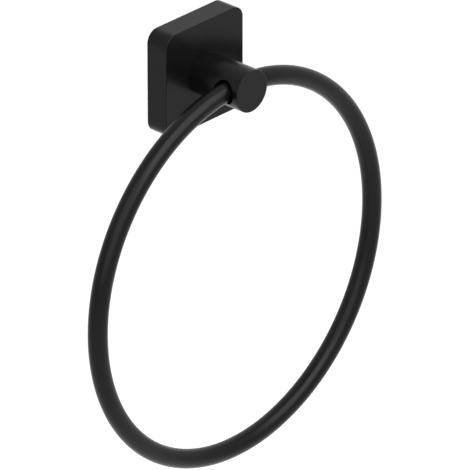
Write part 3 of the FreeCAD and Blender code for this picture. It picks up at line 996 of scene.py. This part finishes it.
class TOWELRING_OT_fasteners(bpy.types.Operator):
    """Build the post screw, its spring washer and the set screw"""

    bl_idname = "towelring.fasteners"
    bl_label = "Fasteners"

    def execute(self, context):
        size = context.scene.towelring_fasteners
        finish = context.scene.towelring_finish
        bright = plated_steel(
            "screw_zinc_finish", finish.screw_zinc, POST_SCREW_ROUGHNESS, POST_SCREW_LINES
        )
        dark = plated_steel(
            "black_oxide_finish", finish.oxide, SET_SCREW_ROUGHNESS, SET_SCREW_LINES
        )
        screw = post_screw(size)
        into_post = Matrix.Rotation(math.radians(-90), 4, "X")
        screw.transform(Matrix.Translation((0.0, SCREW_LOW.y, 0.0)) @ into_post)
        add_piece("post_screw_threaded", screw, bright, "wall_mount", "post_screw")
        washer = spring_washer(size)
        add_piece("lock_washer_split", washer, bright, "wall_mount", "lock_washer")
        grub = set_screw(size)
        middle = (GRUB_LOW + GRUB_HIGH) / 2
        upside_down = Matrix.Rotation(math.radians(180), 4, "X")
        grub.transform(Matrix.Translation((middle.x, middle.y, GRUB_HIGH.z)) @ upside_down)
        add_piece("grub_screw_threaded", grub, dark, "wall_mount", "grub_screw")
        return {"FINISHED"}


# Stage

# Half the floor's width, its paint, and how brightly the eye sees it glow
FLOOR_REACH = 3.0
FLOOR_PAINT = (0.8, 0.8, 0.8, 1)
FLOOR_ROUGHNESS = 0.9
FLOOR_GLOW = 0.75

# Place and width of the soft lamp in front of the part, and of the wide one at its left
KEY_PLACE, KEY_WIDTH = Vector((0.03, -0.40, 0.38)), 0.60
SIDE_PLACE, SIDE_WIDTH = Vector((-0.97, -0.78, 0.72)), 1.7

# What the camera looks at, its lens and sensor in millimetres, and how far it sees
CAMERA_TARGET = Vector((0.00643, -0.02381, -0.07918))
CAMERA_LENS = 557.05
CAMERA_SENSOR = 36.0
CAMERA_REACH = 50.0


def white_to_the_eye(nodes, matt_level, seen_level):
    """One level for what the camera, a reflection or glass sees, another for matt light."""
    path = nodes.add("ShaderNodeLightPath")
    seen = nodes.add("ShaderNodeMath", operation="MAXIMUM")
    nodes.link(path, "Is Camera Ray", seen, 0)
    nodes.link(path, "Is Glossy Ray", seen, 1)
    also = nodes.add("ShaderNodeMath", operation="MAXIMUM")
    nodes.link(seen, 0, also, 0)
    nodes.link(path, "Is Transmission Ray", also, 1)
    level = nodes.add("ShaderNodeMapRange")
    level.inputs["To Min"].default_value = matt_level
    level.inputs["To Max"].default_value = seen_level
    nodes.link(also, 0, level, "Value")
    return level


def add_world(stage):
    """White surround."""
    world = bpy.data.worlds.new("studio_surround")
    world.use_nodes = True
    nodes = Nodes(world.node_tree)
    level = white_to_the_eye(nodes, stage.fill_light, 1.0)
    light = nodes.add("ShaderNodeBackground")
    light.inputs["Color"].default_value = (1, 1, 1, 1)
    output = nodes.add("ShaderNodeOutputWorld")
    nodes.link(level, 0, light, "Strength")
    nodes.link(light, 0, output, "Surface")
    bpy.context.scene.world = world


def add_floor(stage):
    """Pale floor below the hoop."""
    skin = Skin()
    reach = FLOOR_REACH
    height = RING_LOW.z - stage.floor_drop
    corners = [(-reach, -reach), (reach, -reach), (reach, reach), (-reach, reach)]
    skin.faces.append(tuple(skin.row([(across, along, height) for across, along in corners])))
    mesh = bpy.data.meshes.new("floor")
    mesh.from_pydata(skin.points, [], skin.faces)
    material = bpy.data.materials.new("floor_paint")
    material.use_nodes = True
    nodes = Nodes(material.node_tree)
    paint = nodes.add("ShaderNodeBsdfPrincipled")
    paint.inputs["Base Color"].default_value = FLOOR_PAINT
    paint.inputs["Roughness"].default_value = FLOOR_ROUGHNESS
    paint.inputs["Emission Color"].default_value = (1, 1, 1, 1)
    level = white_to_the_eye(nodes, 0.0, FLOOR_GLOW)
    nodes.link(level, 0, paint, "Emission Strength")
    # From below, the floor lets the camera see the part
    side = nodes.add("ShaderNodeNewGeometry")
    path = nodes.add("ShaderNodeLightPath")
    underside = nodes.add("ShaderNodeMath", operation="MULTIPLY")
    nodes.link(side, "Backfacing", underside, 0)
    nodes.link(path, "Is Camera Ray", underside, 1)
    clear = nodes.add("ShaderNodeBsdfTransparent")
    mix = nodes.add("ShaderNodeMixShader")
    nodes.link(underside, 0, mix, 0)
    nodes.link(paint, 0, mix, 1)
    nodes.link(clear, 0, mix, 2)
    output = nodes.add("ShaderNodeOutputMaterial")
    nodes.link(mix, 0, output, "Surface")
    mesh.materials.append(material)
    add_object("floor", mesh)


def add_lamp(name, place, target, width, power):
    """A square soft lamp that faces a point."""
    data = bpy.data.lights.new(name, "AREA")
    data.size = width
    data.energy = power
    lamp = bpy.data.objects.new(name, data)
    bpy.context.scene.collection.objects.link(lamp)
    lamp.location = place
    lamp.rotation_mode = "QUATERNION"
    lamp.rotation_quaternion = (target - place).to_track_quat("-Z", "Y")


def add_camera(stage):
    """The photograph's camera."""
    azimuth = stage.camera_azimuth
    elevation = stage.camera_elevation
    back = Vector((
        math.sin(azimuth) * math.cos(elevation),
        -math.cos(azimuth) * math.cos(elevation),
        math.sin(elevation),
    ))
    data = bpy.data.cameras.new("camera")
    data.sensor_width = CAMERA_SENSOR
    data.lens = CAMERA_LENS
    data.clip_end = CAMERA_REACH
    camera = bpy.data.objects.new("camera", data)
    bpy.context.scene.collection.objects.link(camera)
    camera.location = CAMERA_TARGET + back * stage.camera_distance
    camera.rotation_mode = "QUATERNION"
    camera.rotation_quaternion = (-back).to_track_quat("-Z", "Y")
    bpy.context.scene.camera = camera


class TOWELRING_OT_stage(bpy.types.Operator):
    """Set up the surround, the floor, the two lamps and the camera"""

    bl_idname = "towelring.stage"
    bl_label = "Stage"

    def execute(self, context):
        stage = context.scene.towelring_stage
        context.scene.view_settings.view_transform = "Standard"
        add_world(stage)
        add_floor(stage)
        middle = (CAD_BOX[0] + CAD_BOX[1]) / 2
        add_lamp("key", KEY_PLACE, middle, KEY_WIDTH, stage.key_power)
        add_lamp("side", SIDE_PLACE, middle, SIDE_WIDTH, stage.side_power)
        add_camera(stage)
        return {"FINISHED"}


# Panel and registration

SETTINGS = {
    "towelring_cover": CoverSettings,
    "towelring_post": PostSettings,
    "towelring_ring": RingSettings,
    "towelring_fasteners": FastenerSettings,
    "towelring_finish": FinishSettings,
    "towelring_stage": StageSettings,
}
OPERATORS = (
    TOWELRING_OT_stage,
    TOWELRING_OT_cover,
    TOWELRING_OT_post,
    TOWELRING_OT_ring,
    TOWELRING_OT_bracket,
    TOWELRING_OT_fasteners,
)


class TOWELRING_PT_panel(bpy.types.Panel):
    """Lists the settings and the steps that build the towel ring"""

    bl_idname = "TOWELRING_PT_panel"
    bl_label = "Towel ring"
    bl_space_type = "VIEW_3D"
    bl_region_type = "UI"
    bl_category = "Towel ring"

    def draw(self, context):
        for name, group in SETTINGS.items():
            box = self.layout.box()
            settings = getattr(context.scene, name)
            for setting in group.__annotations__:
                box.prop(settings, setting)
        for operator in OPERATORS:
            self.layout.operator(operator.bl_idname)


def register():
    for group in SETTINGS.values():
        bpy.utils.register_class(group)
    for name, group in SETTINGS.items():
        setattr(bpy.types.Scene, name, PointerProperty(type=group))
    for operator in OPERATORS:
        bpy.utils.register_class(operator)
    bpy.utils.register_class(TOWELRING_PT_panel)


def unregister():
    bpy.utils.unregister_class(TOWELRING_PT_panel)
    for operator in reversed(OPERATORS):
        bpy.utils.unregister_class(operator)
    for name in SETTINGS:
        delattr(bpy.types.Scene, name)
    for group in reversed(SETTINGS.values()):
        bpy.utils.unregister_class(group)


def main():
    register()
    bpy.ops.towelring.stage()
    bpy.ops.towelring.cover()
    bpy.ops.towelring.post()
    bpy.ops.towelring.ring()
    bpy.ops.towelring.bracket()
    bpy.ops.towelring.fasteners()


if __name__ == "__main__":
    main()
